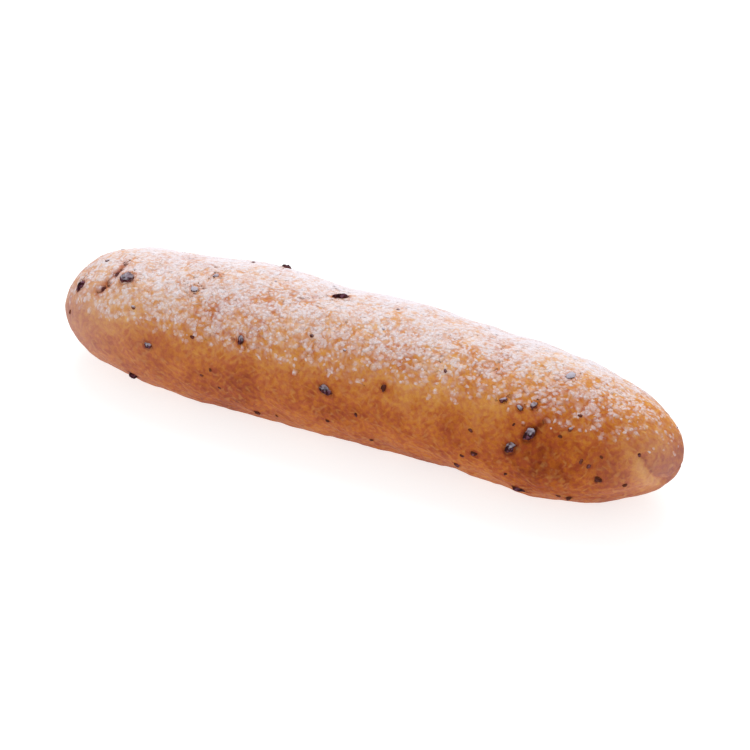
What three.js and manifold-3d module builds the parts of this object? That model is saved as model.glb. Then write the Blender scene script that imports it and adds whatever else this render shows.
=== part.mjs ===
// A short fruit baguette: one soft, unslashed loaf with rounded ends, resting on the flat that the
// baking tray left, with currants and scraps of currant baked into its crust.
//
// The frame: the loaf lies along X, its near side faces -Y, Z is up, and the origin is on the
// surface it rests on, under the middle of the loaf. Lengths are in millimetres. A place on the
// crust is given by "along", in millimetres from the middle, and "around", in degrees from the top
// of the loaf: 90 is the near side, -90 the far side and 180 the base.

import {
  BufferAttribute,
  BufferGeometry,
  Group,
  Matrix4,
  Mesh,
  MeshStandardMaterial,
  SphereGeometry,
  Vector3,
} from "three";
import { mergeVertices } from "three/addons/utils/BufferGeometryUtils.js";
import Module from "manifold-3d";

// The loaf's driving dimensions.
const LENGTH = 280;
const WIDTH = 66;
const HEIGHT = 54;
const WIDEST_AT = 24; // height of the widest line above the tray
const LEFT_BLUNTNESS = 5.3; // exponent of the end's outline: 2 is an ellipse, higher is blunter
const RIGHT_BLUNTNESS = 4.4;
const BOW = 3.7; // how far the ends lie in front of the middle
const END_SAG = 1; // how far the ends' centres sink below the middle's
const TRAY_ROUNDING = 2.5; // height over which the side rounds into the flat base
const FLAT_EDGE = 0.35; // what the rounding leaves lower than this is part of the flat

// How fine the crust's faces are.
const CRUST_ROUND = 44;
const CRUST_LONG = 92;

// The crust's unevenness: a sum of waves through the dough, each shorter and lower than the last.
const WAVES = 7;
const LONGEST_WAVE = 74;
const WAVE_SHORTENING = 0.76;
const WAVE_HEIGHT = 0.3;
const WAVE_LOWERING = 0.88;
const GOLDEN_ANGLE = 2.399963;

// The lower edge is drawn in a little, and has low knobs where the dough spread over the tray's mesh.
const EDGE_AROUND = 126;
const EDGE_SPREAD = 18;
const EDGE_DRAWN_IN = 0.7;
const KNOB_HEIGHT = 0.1;
const KNOB_SPACING = 13.5;

// Swells and dips of the dough: where, how far they reach, and how high they stand.
const SWELLS = [
  { along: 92, around: 122, reach: 30, height: 1.6 }, // belly low on the right
  { along: 40, around: 112, reach: 34, height: -1.6 }, // waist
  { along: -62, around: 118, reach: 58, height: 0.9 }, // fuller low on the left
  { along: 92, around: -48, reach: 36, height: -0.9 }, // slack shoulder behind on the right
  { along: -116, around: -30, reach: 18, height: 0.5 }, // full shoulder behind on the left
  { along: -84, around: -36, reach: 17, height: -1.3 }, // slack beside it
  { along: 129, around: 122, reach: 13, height: -2.1 }, // the right end lifts off the tray
  { along: 132, around: 0, reach: 18, height: 1.3 }, // its tip stands forward above the seam
  { along: 123, around: 88, reach: 7, height: 0.9 }, // pale lip beside the seam
  { along: -104, around: 26, reach: 6, height: 0.8 }, // crust raised over the largest currant
  { along: -140, around: 90, reach: 20, height: -1 }, // the left tip is a little flat
];

// Grooves in the crust: the seam that closes the right end, the tear on the left end, and a crease
// above the currants on the right.
const SEAM = [
  { along: 128, around: 55 },
  { along: 130, around: 63 },
  { along: 133, around: 80 },
  { along: 135, around: 98 },
  { along: 137, around: 125 },
];
const TEAR = [
  { along: -115.5, around: 41 },
  { along: -112.5, around: 31 },
  { along: -110, around: 16 },
  { along: -110.5, around: 6 },
];
const CREASE = [
  { along: 86, around: 60 },
  { along: 90, around: 48 },
];
const GROOVES = [
  { path: SEAM, depth: 1.4, halfWidth: 2 },
  { path: TEAR, depth: 1, halfWidth: 1.8 },
  { path: CREASE, depth: 0.7, halfWidth: 1.6 },
];

// Currants that show, whole ones first: where, how long, broad and thick, and the way they point,
// in degrees from the loaf's length towards its near side.
const CURRANTS = [
  { along: -103.5, around: 26, size: [6.4, 5.6, 4.6], turn: -30 },
  { along: -126.8, around: 38, size: [5.6, 3.6, 3.4], turn: -60 },
  { along: -13, around: -7, size: [6.8, 4.0, 3.4], turn: -30 },
  { along: -47, around: -38, size: [4.8, 4.2, 4.6], turn: 0 },
  { along: -2.5, around: 73, size: [6.0, 3.8, 3.8], turn: 20 },
  { along: 85, around: 62, size: [6.2, 4.2, 3.8], turn: 110 },
  { along: 78.5, around: 76.5, size: [5.6, 3.9, 3.4], turn: -45 },
  { along: -96, around: 121, size: [4.4, 3.8, 4.2], turn: 30 },
  { along: 81.7, around: 122, size: [6.2, 3.4, 3.2], turn: 10 },
  { along: 92, around: 5, size: [5.0, 3.8, 2.6], turn: -40 },
  { along: -72, around: 24, size: [4.0, 3.6, 2.4], turn: 15 },
  { along: -85, around: 76, size: [3.8, 3.0, 2.8], turn: 25 },
  { along: -43.5, around: 53, size: [4.2, 2.8, 2.6], turn: 80 },
];

// Scraps of currant: all much of one size, so only their places are listed.
const SCRAP_SIZE = [3.2, 2.4, 2.3];
const SCRAPS = [
  { along: -114, around: 38 },
  { along: -110, around: 22 },
  { along: -67, around: 7 },
  { along: -36, around: 118 },
  { along: 21.5, around: 59 },
  { along: 71, around: 43 },
  { along: 78.5, around: 45 },
  { along: 83.5, around: 40 },
  { along: 63.5, around: 92 },
  { along: 54.5, around: 115 },
  { along: 102, around: 121 },
  { along: 114, around: 88 },
];

// The far side, which has its own currants, spread evenly by two irrational steps.
const FAR_CURRANTS = 12;
const FAR_FROM = -58;
const FAR_TO = -122;
const FAR_REACH = 0.86; // share of the half length that they cover
const ALONG_STEP = 0.7548777;
const AROUND_STEP = 0.5698403;

// A currant's own form.
const CURRANT_ROUND = 7;
const CURRANT_LONG = 5;
const STANDS_OUT = 0.42; // share of its thickness outside the crust

const CRUST_COLOUR = 0xb97843;
const CRUST_ROUGHNESS = 0.6;

const radians = (degrees) => (degrees * Math.PI) / 180;

// The rounded loaf without its relief, at s from -1 to 1 along it: a squashed round whose radius
// falls to nothing at both ends as the root of 1 - |s|^bluntness. The normal is that form's gradient.
function smoothCrust(s, around) {
  const bluntness = s < 0 ? LEFT_BLUNTNESS : RIGHT_BLUNTNESS;
  const girth = Math.sqrt(Math.max(0, 1 - Math.abs(s) ** bluntness));
  const halfWidth = WIDTH / 2;
  const rise = HEIGHT - WIDEST_AT;
  const y = -Math.sin(around) * girth * halfWidth;
  const z = Math.cos(around) * girth * rise;
  const point = new Vector3(
    (s * LENGTH) / 2,
    y - BOW * s * s,
    z + WIDEST_AT - END_SAG * s ** 4,
  );
  const normal = new Vector3(
    (Math.sign(s) * bluntness * Math.abs(s) ** (bluntness - 1)) / (LENGTH / 2),
    (2 * y) / halfWidth ** 2,
    (2 * z) / rise ** 2,
  ).normalize();
  return { point, normal };
}

const placeOn = ({ along, around }) =>
  smoothCrust(along / (LENGTH / 2), radians(around));

// Waves through the dough. Each one runs in its own direction, a golden angle on from the last.
function waveHeight(p) {
  let height = 0;
  for (let i = 0; i < WAVES; i++) {
    const turn = i * GOLDEN_ANGLE;
    const lean = Math.cos(1.7 * i);
    const length = LONGEST_WAVE * WAVE_SHORTENING ** i;
    const across = p.x * Math.cos(turn) + (p.y + lean * p.z) * Math.sin(turn);
    height +=
      WAVE_HEIGHT *
      WAVE_LOWERING ** i *
      Math.sin((2 * Math.PI * across) / length + 2.3 * i);
  }
  return height;
}

// The lower edge: drawn in, with knobs of two uneven wavelengths, in a band on both sides of the loaf.
function edgeHeight(p, around) {
  const fromEdge = Math.abs((around * 180) / Math.PI) - EDGE_AROUND;
  const band = Math.exp(-((fromEdge / EDGE_SPREAD) ** 2));
  const phase = (2 * Math.PI * p.x) / KNOB_SPACING;
  const knobs = KNOB_HEIGHT * (Math.sin(phase) + 0.6 * Math.sin(1.618 * phase + 1));
  return band * (knobs - EDGE_DRAWN_IN);
}

// Swells are bell curves of the distance from their centres.
const swellCentres = SWELLS.map((swell) => placeOn(swell).point);

const swellHeight = (p) =>
  SWELLS.reduce((sum, { reach, height }, i) => {
    const away = p.distanceTo(swellCentres[i]) / reach;
    return sum + height * Math.exp(-away * away);
  }, 0);

// Distance from p to the stretch between a and b.
function distanceToStretch(p, a, b) {
  const run = b.clone().sub(a);
  const share = p.clone().sub(a).dot(run) / run.lengthSq();
  return p.distanceTo(a.clone().addScaledVector(run, Math.min(1, Math.max(0, share))));
}

// Grooves are bell curves of the distance from their paths.
const groovePaths = GROOVES.map(({ path }) =>
  path.map((place) => placeOn(place).point),
);

function grooveHeight(p) {
  let height = 0;
  GROOVES.forEach(({ depth, halfWidth }, i) => {
    const path = groovePaths[i];
    const away = Math.min(
      ...path.slice(1).map((end, j) => distanceToStretch(p, path[j], end)),
    );
    height -= depth * Math.exp(-((away / halfWidth) ** 2));
  });
  return height;
}

// The tray flattens whatever would reach below it, over a short rounding.
function onTray(z) {
  if (z > TRAY_ROUNDING) return z;
  const rounded = Math.max(0, z + TRAY_ROUNDING) ** 2 / (4 * TRAY_ROUNDING);
  return rounded < FLAT_EDGE ? 0 : rounded;
}

// The finished crust: the smooth loaf, its relief along the normal, and the tray's flat.
function crust(s, around) {
  const { point, normal } = smoothCrust(s, around);
  const relief =
    waveHeight(point) +
    edgeHeight(point, around) +
    swellHeight(point) +
    grooveHeight(point);
  const placed = point.addScaledVector(normal, relief);
  placed.z = onTray(placed.z);
  return { point: placed, normal };
}

// A unit sphere whose shared vertices are merged, so that a form made from it is closed.
function closedSphere(round, long) {
  const sphere = new SphereGeometry(1, round, long);
  sphere.deleteAttribute("normal");
  sphere.deleteAttribute("uv");
  return mergeVertices(sphere, 1e-5);
}

// The loaf: a sphere whose poles are the loaf's ends. A vertex's height in the sphere gives its
// share of the loaf's length, and its angle round the poles is its angle round the loaf.
function loafGeometry() {
  const geometry = closedSphere(CRUST_ROUND, CRUST_LONG);
  const position = geometry.getAttribute("position");
  for (let i = 0; i < position.count; i++) {
    const s = Math.min(1, Math.max(-1, position.getY(i)));
    const around = Math.atan2(-position.getZ(i), position.getX(i));
    const { point } = crust(s, around);
    position.setXYZ(i, point.x, point.y, point.z);
  }
  return geometry;
}

// A currant: a sphere drawn out to its size with a few dents, laid on the crust and sunk into it.
function currantGeometry({ along, around, size, turn }) {
  const geometry = closedSphere(CURRANT_ROUND, CURRANT_LONG);
  const position = geometry.getAttribute("position");
  const [long, broad, thick] = size;
  for (let i = 0; i < position.count; i++) {
    const [x, y, z] = [position.getX(i), position.getY(i), position.getZ(i)];
    const dent = 1 + 0.08 * Math.sin(3 * x + along) * Math.cos(4 * y + around);
    position.setXYZ(
      i,
      (x * dent * long) / 2,
      (y * dent * broad) / 2,
      (z * dent * thick) / 2,
    );
  }
  const { point, normal } = crust(along / (LENGTH / 2), radians(around));
  const down = new Vector3(0, -Math.cos(radians(around)), -Math.sin(radians(around)));
  const side = down.addScaledVector(normal, -down.dot(normal)).normalize();
  const ahead = new Vector3().crossVectors(normal, side);
  const heading = ahead
    .multiplyScalar(Math.cos(radians(turn)))
    .addScaledVector(side, Math.sin(radians(turn)));
  const across = new Vector3().crossVectors(normal, heading);
  const centre = point.addScaledVector(normal, thick * (STANDS_OUT - 0.5));
  const place = new Matrix4().makeBasis(heading, across, normal).setPosition(centre);
  return geometry.applyMatrix4(place);
}

// The scraps' own turns, and the currants of the far side, by rule.
const scraps = SCRAPS.map((place, i) => ({
  ...place,
  size: SCRAP_SIZE,
  turn: 67 * i,
}));

const farCurrants = Array.from({ length: FAR_CURRANTS }, (_, i) => {
  const alongShare = (0.31 + (i + 1) * ALONG_STEP) % 1;
  const aroundShare = (0.17 + (i + 1) * AROUND_STEP) % 1;
  const scale = 0.75 + 0.45 * ((0.5 + i * AROUND_STEP) % 1);
  return {
    along: (2 * alongShare - 1) * FAR_REACH * (LENGTH / 2),
    around: FAR_FROM + aroundShare * (FAR_TO - FAR_FROM),
    size: [5.4, 4.4, 3.8].map((length) => length * scale),
    turn: 50 * i,
  };
});

// Joins closed geometries into one solid.
async function fused(geometries) {
  const wasm = await Module();
  wasm.setup();
  const solids = geometries.map(
    (geometry) =>
      new wasm.Manifold(
        new wasm.Mesh({
          numProp: 3,
          vertProperties: new Float32Array(geometry.getAttribute("position").array),
          triVerts: new Uint32Array(geometry.index.array),
        }),
      ),
  );
  const mesh = solids.reduce((whole, solid) => whole.add(solid)).getMesh();
  const geometry = new BufferGeometry();
  geometry.setAttribute("position", new BufferAttribute(mesh.vertProperties, 3));
  geometry.setIndex(new BufferAttribute(mesh.triVerts, 1));
  geometry.computeVertexNormals();
  return geometry;
}

const crustMaterial = new MeshStandardMaterial({
  color: CRUST_COLOUR,
  roughness: CRUST_ROUGHNESS,
  metalness: 0,
});

const fruit = [...CURRANTS, ...scraps, ...farCurrants].map(currantGeometry);
const loaf = new Mesh(await fused([loafGeometry(), ...fruit]), crustMaterial);
loaf.name = "loaf";

const baguette = new Group();
baguette.add(loaf);

export default baguette;
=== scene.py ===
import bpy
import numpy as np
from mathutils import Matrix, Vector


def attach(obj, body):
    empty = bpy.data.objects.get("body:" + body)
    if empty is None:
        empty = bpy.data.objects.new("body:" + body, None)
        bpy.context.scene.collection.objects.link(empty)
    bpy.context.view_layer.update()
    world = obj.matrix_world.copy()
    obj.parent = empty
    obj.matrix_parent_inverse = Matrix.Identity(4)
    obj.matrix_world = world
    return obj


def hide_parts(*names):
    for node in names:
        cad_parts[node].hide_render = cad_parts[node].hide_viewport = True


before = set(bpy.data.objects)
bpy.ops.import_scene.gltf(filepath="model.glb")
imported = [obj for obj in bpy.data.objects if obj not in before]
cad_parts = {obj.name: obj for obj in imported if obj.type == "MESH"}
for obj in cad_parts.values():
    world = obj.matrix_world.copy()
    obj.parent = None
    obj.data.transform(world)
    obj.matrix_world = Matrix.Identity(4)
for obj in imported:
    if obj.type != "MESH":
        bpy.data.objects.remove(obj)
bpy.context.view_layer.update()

# A short fruited baguette: a soft unslashed loaf, wrinkled crust, currants baked in, flour over it.
#
# Lengths are millimetres until a mesh is made. The loaf lies along X, its near side faces -Y, Z is
# up, and the tray's surface is z = 0. A place on the crust is "along", in millimetres from the
# middle, and "around", in degrees from the top: 90 is the near side, -90 the far one, 180 the base.

draws = np.random.default_rng(11)

# ---------------------------------------------------------------- the loaf's form

LENGTH, WIDTH, HEIGHT, WIDEST_AT = 280, 66, 54, 24
LEFT_BLUNTNESS, RIGHT_BLUNTNESS = 5.3, 4.4
BOW, END_SAG, TRAY_ROUNDING = 3.7, 1, 2.5
WAVES, LONGEST_WAVE, WAVE_SHORTENING = 7, 74, 0.76
WAVE_HEIGHT, WAVE_LOWERING, GOLDEN_ANGLE = 0.3, 0.88, 2.399963
LEAN_STEP, PHASE_STEP = 1.7, 2.3  # how each wave's lean and phase go on from the last
EDGE_AROUND, EDGE_SPREAD, EDGE_DRAWN_IN, KNOB_HEIGHT, KNOB_SPACING = 126, 18, 0.7, 0.1, 13.5
SMALL_KNOBS, SMALL_KNOB_RATE = 0.6, 1.618  # knobs between the knobs: height and number per knob

# Swells and dips of the dough: along, around, reach and height.
SWELLS = [
    (92, 122, 30, 1.6),  # belly low on the right
    (40, 112, 34, -1.6),  # waist
    (-62, 118, 58, 0.9),  # fuller low on the left
    (92, -48, 36, -0.9),  # slack shoulder behind on the right
    (-116, -30, 18, 0.5),  # full shoulder behind on the left
    (-84, -36, 17, -1.3),  # slack beside it
    (129, 122, 13, -2.1),  # the right end lifts off the tray
    (132, 0, 18, 1.3),  # its tip stands forward above the seam
    (123, 88, 7, 0.9),  # pale lip beside the seam
    (-104, 26, 6, 0.8),  # crust raised over the largest currant
    (-140, 90, 20, -1),  # the left tip is a little flat
]

# Grooves in the crust. Each has its path of along and around, its depth and its half width: the
# seam that closes the right end, the tear on the left end, and a crease above the right currants.
SEAM = [(128, 55), (130, 63), (133, 80), (135, 98), (137, 125)]
TEAR = [(-115.5, 41), (-112.5, 31), (-110, 16), (-110.5, 6)]
CREASE = [(86, 60), (90, 48)]
GROOVES = [(SEAM, 1.3, 1.9), (TEAR, 1.1, 1.6), (CREASE, 0.7, 1.4)]

# Currants: along, around, length, breadth, thickness, the way they point, and how floured.
CURRANTS = [
    # The largest currant's flour share of 0.5 paints pale glints on its top: painted highlight.
    (-103.5, 26, 6.2, 5.6, 4.6, -30, 0.5),
    (-126.8, 38, 5.6, 3.6, 3.4, -60, 0),
    (-13, -7, 6.8, 4.0, 3.4, -30, 0),
    (-47, -38, 4.8, 4.2, 4.6, 0, 0),
    (-2.5, 73, 6.0, 3.8, 3.8, 20, 0.45),
    (85, 62, 6.2, 4.2, 3.8, 110, 0.5),
    (78.5, 76.5, 5.6, 3.9, 3.4, -45, 0.5),
    (-96, 121, 4.4, 3.8, 4.2, 30, 0),
    (81.7, 122, 6.2, 3.4, 3.2, 10, 0),
    (92, 5, 5.0, 3.8, 2.6, -40, 0.9),
    (-72, 24, 4.0, 3.6, 2.4, 15, 0.95),
    (-85, 76, 3.8, 3.0, 2.8, 25, 0.6),
    (-43.5, 53, 4.2, 2.8, 2.6, 80, 0.45),
]
SCRAPS = [
    (-114, 38), (-110, 22), (-67, 7), (-36, 118), (21.5, 59), (71, 43), (78.5, 45),
    (83.5, 40), (63.5, 92), (54.5, 115), (102, 121), (114, 88),
]
SCRAP_SIZE, SCRAP_TURN = (3.2, 2.4, 2.3), 67
SCRAP_FLOUR = ((30, 35, 55, 60), (0.8, 0.5, 0.5, 0))  # around, and how floured
IN_TEAR = -105  # scraps left of this lie in the tear
CRUMBS = [
    (-120, -27), (-120, 3), (-130, 76), (-55, 82), (-59, 89), (-51, 97), (-27, 117), (-95, 49),
    (-65, 60), (-60, -29), (-43, -6), (1, 40), (12, 15), (12, -10), (-15, 36), (11, 87), (-2, 102),
    (61, 72), (16, 117), (44, 34), (77, 103), (98, 118), (110, 76), (107, 73), (102, 36), (97, 57),
    (127, 53), (124, 94), (134, -38), (78, 58), (114, 65), (58, 98), (100, 49),
]
CRUMB_SIZE, CRUMB_SPREAD = (2.0, 1.5, 1.2), (0.75, 1.25)
FAR_CRUMBS, FAR_CRUMBS_ALONG, FAR_CRUMBS_AROUND = 26, (-128, 128), (-125, -60)
FAR_CURRANTS, FAR_FROM, FAR_TO, FAR_REACH = 12, -58, -122, 0.86
FAR_SIZE, FAR_LEAST, FAR_SPREAD, FAR_FLOUR, FAR_TURN = (5.4, 4.4, 3.8), 0.75, 0.45, 0.3, 50
ALONG_STEP, AROUND_STEP = 0.7548777, 0.5698403
ALONG_START, AROUND_START, SIZE_START = 0.31, 0.17, 0.5
STANDS_OUT = 0.42  # share of a currant's thickness outside the crust

# The lattice of the noise: the corners of a cell, how many slopes there are, how far one seed lies
# from the next, and what brings the noise to about -1 to 1.
CORNERS = np.array([(i, j, k) for i in (0, 1) for j in (0, 1) for k in (0, 1)])
LATTICE, SEED_STEP, GAIN = 256, 17.31, 1.6
ORDER = draws.permutation(LATTICE)
SLOPES = draws.normal(size=(LATTICE, 3))
SLOPES /= np.linalg.norm(SLOPES, axis=1, keepdims=True)


def noise(points, size, seed):
    """Smooth noise from about -1 to 1: every corner of a lattice `size` wide has a random slope,
    and between corners the slopes' heights are blended by 6t^5 - 15t^4 + 10t^3. The seed moves the
    lattice, and each use of noise has its own."""
    place = points / size + SEED_STEP * (seed + 1)
    cell = np.floor(place).astype(int)
    within = place - cell
    blend = within**3 * (within * (6 * within - 15) + 10)
    total = np.zeros(place.shape[:-1])
    for corner in CORNERS:
        at = (cell + corner) % LATTICE
        chain = ORDER[(at[..., 1] + ORDER[at[..., 2]]) % LATTICE]
        slope = SLOPES[ORDER[(at[..., 0] + chain) % LATTICE]]
        weight = np.prod(np.where(corner, blend, 1 - blend), axis=-1)
        total += weight * np.sum(slope * (within - corner), axis=-1)
    return GAIN * total


def layered(points, layers):
    """A sum of noises. Each layer has its size, its strength and its seed."""
    return sum(strength * noise(points, size, seed) for size, strength, seed in layers)


def warped(points, size, amount, seed):
    """The points, each moved by about `amount` at most by three noises of that size."""
    moves = [noise(points, size, seed + i) for i in range(3)]
    return points + amount * np.stack(moves, axis=-1)


def stretched(points, direction, factor):
    """The points squeezed along a direction, which draws noise read there out `factor` times."""
    heading = np.array(direction) / np.linalg.norm(direction)
    return points + (1 / factor - 1) * (points @ heading)[..., None] * heading


def rise(values, low, high):
    """0 at low and beyond it, 1 at high and beyond it, and 3t^2 - 2t^3 between them."""
    t = np.clip((values - low) / (high - low), 0, 1)
    return t * t * (3 - 2 * t)


def bell(distance, reach):
    """A bell curve: exp(-(distance / reach)^2)."""
    return np.exp(-((distance / reach) ** 2))


def smooth_crust(along, around):
    """The loaf without relief, and its outward normal. Its half width and its rise shrink towards
    the ends as the root of 1 - |s|^bluntness, the ends lie BOW in front of the middle and END_SAG
    below it, and the normal is the gradient of that form."""
    s = along / (LENGTH / 2)
    turn = np.radians(around)
    blunt = np.where(s < 0, LEFT_BLUNTNESS, RIGHT_BLUNTNESS)
    girth = np.sqrt(np.maximum(0, 1 - np.abs(s) ** blunt))
    half, top = WIDTH / 2, HEIGHT - WIDEST_AT
    y, z = -np.sin(turn) * girth * half, np.cos(turn) * girth * top
    point = np.stack([along, y - BOW * s**2, z + WIDEST_AT - END_SAG * s**4], axis=-1)
    lean = np.sign(s) * blunt * np.abs(s) ** (blunt - 1) / (LENGTH / 2)
    normal = np.stack([lean, 2 * y / half**2, 2 * z / top**2], axis=-1)
    return point, normal / np.linalg.norm(normal, axis=-1, keepdims=True)


def onto_crust(points):
    """Along and around of points near the loaf: smooth_crust's formula turned round."""
    x, y, z = np.moveaxis(points, -1, 0)
    s = x / (LENGTH / 2)
    side = -(y + BOW * s**2) / (WIDTH / 2)
    above = (z - WIDEST_AT + END_SAG * s**4) / (HEIGHT - WIDEST_AT)
    return x, np.degrees(np.arctan2(side, above))


def places(pairs):
    """Points of the smooth loaf at pairs of along and around."""
    pairs = np.asarray(pairs, float)
    return smooth_crust(pairs[:, 0], pairs[:, 1])[0]


def bells(points, spots):
    """A sum of bell curves, one about each spot, with the spot's reach and height."""
    total = 0
    for along, around, reach, height in spots:
        away = np.linalg.norm(points - places([(along, around)]), axis=-1)
        total = total + height * bell(away, reach)
    return total


def from_path(points, path):
    """Distance from each point to the nearest stretch of a path of places."""
    ends = places(path)
    nearest = np.full(points.shape[:-1], np.inf)
    for a, b in zip(ends[:-1], ends[1:]):
        run = b - a
        share = np.clip((points - a) @ run / (run @ run), 0, 1)
        off = points - a - share[..., None] * run
        nearest = np.minimum(nearest, np.linalg.norm(off, axis=-1))
    return nearest


def dough(points, around):
    """Height of the broad relief: sine waves through the loaf, each a golden angle on from the
    last, knobs along both lower edges, the swells, and the grooves."""
    x, y, z = np.moveaxis(points, -1, 0)
    height = bells(points, SWELLS)
    for i in range(WAVES):
        turn, lean = i * GOLDEN_ANGLE, np.cos(LEAN_STEP * i)
        across = x * np.cos(turn) + (y + lean * z) * np.sin(turn)
        length = LONGEST_WAVE * WAVE_SHORTENING**i
        wave = np.sin(2 * np.pi * across / length + PHASE_STEP * i)
        height += WAVE_HEIGHT * WAVE_LOWERING**i * wave
    band = bell(np.abs(around) - EDGE_AROUND, EDGE_SPREAD)
    phase = 2 * np.pi * x / KNOB_SPACING
    knobs = KNOB_HEIGHT * (np.sin(phase) + SMALL_KNOBS * np.sin(SMALL_KNOB_RATE * phase + 1))
    height += band * (knobs - EDGE_DRAWN_IN)
    for path, depth, half_width in GROOVES:
        height -= depth * bell(from_path(points, path), half_width)
    return height


def on_tray(z):
    """Flattens what would reach below the tray, over a rounding TRAY_ROUNDING high."""
    rounded = (np.clip(z, -TRAY_ROUNDING, None) + TRAY_ROUNDING) ** 2 / (4 * TRAY_ROUNDING)
    return np.where(z > TRAY_ROUNDING, z, rounded)


def far_currants():
    """The far side's currants, spread evenly by two irrational steps."""
    i = np.arange(FAR_CURRANTS)
    along = (2 * ((ALONG_START + (i + 1) * ALONG_STEP) % 1) - 1) * FAR_REACH * LENGTH / 2
    around = FAR_FROM + ((AROUND_START + (i + 1) * AROUND_STEP) % 1) * (FAR_TO - FAR_FROM)
    scale = FAR_LEAST + FAR_SPREAD * ((SIZE_START + i * AROUND_STEP) % 1)
    sizes = np.outer(scale, FAR_SIZE)
    return np.column_stack([along, around, sizes, FAR_TURN * i, FAR_FLOUR * scale])


def scrap_rows():
    """Rows for the scraps: those on top are the most floured, and those in the tear aren't."""
    along, around = np.transpose(SCRAPS)
    floured = np.interp(around, *SCRAP_FLOUR) * (along > IN_TEAR)
    return [
        (*place, *SCRAP_SIZE, SCRAP_TURN * i, amount)
        for i, (place, amount) in enumerate(zip(SCRAPS, floured))
    ]


FRUIT = np.vstack([CURRANTS, scrap_rows(), far_currants()])


def fruit_frames(rows):
    """For rows of fruit: the smooth crust's point there, the heading in which the fruit lies, the
    direction across it and the outward normal."""
    point, normal = smooth_crust(rows[:, 0], rows[:, 1])
    around, turn = np.radians(rows[:, 1:2]), np.radians(rows[:, 5:6])
    down = np.hstack([0 * around, -np.cos(around), -np.sin(around)])
    side = down - np.sum(down * normal, axis=1, keepdims=True) * normal
    side /= np.linalg.norm(side, axis=1, keepdims=True)
    ahead = np.cross(normal, side)
    heading = np.cos(turn) * ahead + np.sin(turn) * side
    return point, heading, np.cross(normal, heading), normal


def from_fruit(points):
    """How far each point is from the nearest fruit, where 1 is that fruit's own rim."""
    nearest = np.full(points.shape[:-1], np.inf)
    centres, headings, acrosses, _ = fruit_frames(FRUIT)
    for row, centre, heading, across in zip(FRUIT, centres, headings, acrosses):
        off = points - centre
        deep = np.sum(off**2, axis=-1)
        u, v = off @ heading, off @ across
        rest = np.maximum(0, deep - u**2 - v**2)
        ring = np.sqrt((2 * u / row[2]) ** 2 + (2 * v / row[3]) ** 2 + rest / 4)
        nearest = np.minimum(nearest, ring)
    return nearest


# Wrinkles of the crust: their height, how wide a band of the noise they take up, the noise's size,
# how many times it is drawn out, and the size and the amount of its warp.
WRINKLE_HEIGHT, WRINKLE_BAND, WRINKLE_SIZE, DRAWN_OUT = 0.18, 0.65, 3.0, 2.2
WRINKLE_WARP_SIZE, WRINKLE_WARP = 6, 1.5
# They fall to the right in some patches and climb in the others: the patches' size, the directions,
# and the patch noise from where they begin to where they are full.
WRINKLE_PATCH, FALLING, CLIMBING = 10, (1, 0, -0.6), (0.7, 0, 1.2)
FALLING_IN, CLIMBING_IN = (-0.3, 0.4), (-0.1, 0.5)
FINE_RELIEF = [(2.6, 0.08, 29), (4.6, 0.18, 31)]  # size, height and seed
# The lip and the gap round each fruit: where they lie, if the fruit's rim is at 1, their half width
# on that scale, and their height.
LIP, GAP = (1.3, 0.28, 0.3), (1.0, 0.16, -0.3)


def wrinkled(points, direction, seed):
    """1 on the zero lines of a warped noise that is drawn out in a direction, and less beside."""
    drawn = stretched(points, direction, DRAWN_OUT)
    lines = noise(warped(drawn, WRINKLE_WARP_SIZE, WRINKLE_WARP, seed), WRINKLE_SIZE, seed + 4)
    return bell(lines, WRINKLE_BAND)


def crust(along, around):
    """The finished crust, the smooth loaf's normal and the distance from fruit. The crust is the
    smooth loaf, raised along its normal by the dough's relief, wrinkles, finer relief, and a lip
    and a gap round each fruit, and then flattened on the tray."""
    point, normal = smooth_crust(along, around)
    away = from_fruit(point)
    patch = noise(point, WRINKLE_PATCH, 23)
    wrinkle = wrinkled(point, FALLING, 3) * rise(patch, *FALLING_IN)
    wrinkle += wrinkled(point, CLIMBING, 5) * rise(-patch, *CLIMBING_IN)
    height = dough(point, around) + WRINKLE_HEIGHT * wrinkle + layered(point, FINE_RELIEF)
    for where, half_width, stands in (LIP, GAP):
        height += stands * bell(away - where, half_width)
    placed = point + height[..., None] * normal
    placed[..., 2] = on_tray(placed[..., 2])
    return placed, normal, away


# ---------------------------------------------------------------- mesh helpers


def mesh_piece(name, points, faces, material, attributes):
    """A smooth-shaded piece made of points in millimetres, its faces and its point attributes."""
    mesh = bpy.data.meshes.new(name)
    mesh.from_pydata((points / 1000).tolist(), [], faces)
    for key, values in attributes.items():
        made = mesh.attributes.new(key, "FLOAT", "POINT")
        made.data.foreach_set("value", np.ascontiguousarray(values, dtype=np.float32))
    mesh.shade_smooth()
    mesh.materials.append(material)
    piece = bpy.data.objects.new(name, mesh)
    bpy.context.scene.collection.objects.link(piece)
    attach(piece, "root")
    return piece


def closed_faces(rings, round_):
    """Faces of a form with `rings` rings of `round_` points, after its first pole and before its
    last: a fan of triangles at each pole and quads between rings."""
    ring = np.arange(rings * round_).reshape(rings, round_) + 1
    onward = np.roll(ring, -1, axis=1)
    quads = np.stack([ring[:-1], onward[:-1], onward[1:], ring[1:]], axis=-1).reshape(-1, 4)
    last = rings * round_ + 1
    first_fan = np.stack([onward[0], ring[0], np.zeros(round_, int)], axis=-1)
    last_fan = np.stack([ring[-1], onward[-1], np.full(round_, last)], axis=-1)
    return quads, np.vstack([first_fan, last_fan])


def repeated(kinds, count, size):
    """The faces of `count` copies of a form with `size` points."""
    step = (np.arange(count) * size)[:, None, None]
    copies = [(kind[None] + step).reshape(-1, kind.shape[1]).tolist() for kind in kinds]
    return [face for faces in copies for face in faces]


# ---------------------------------------------------------------- the crust

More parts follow.
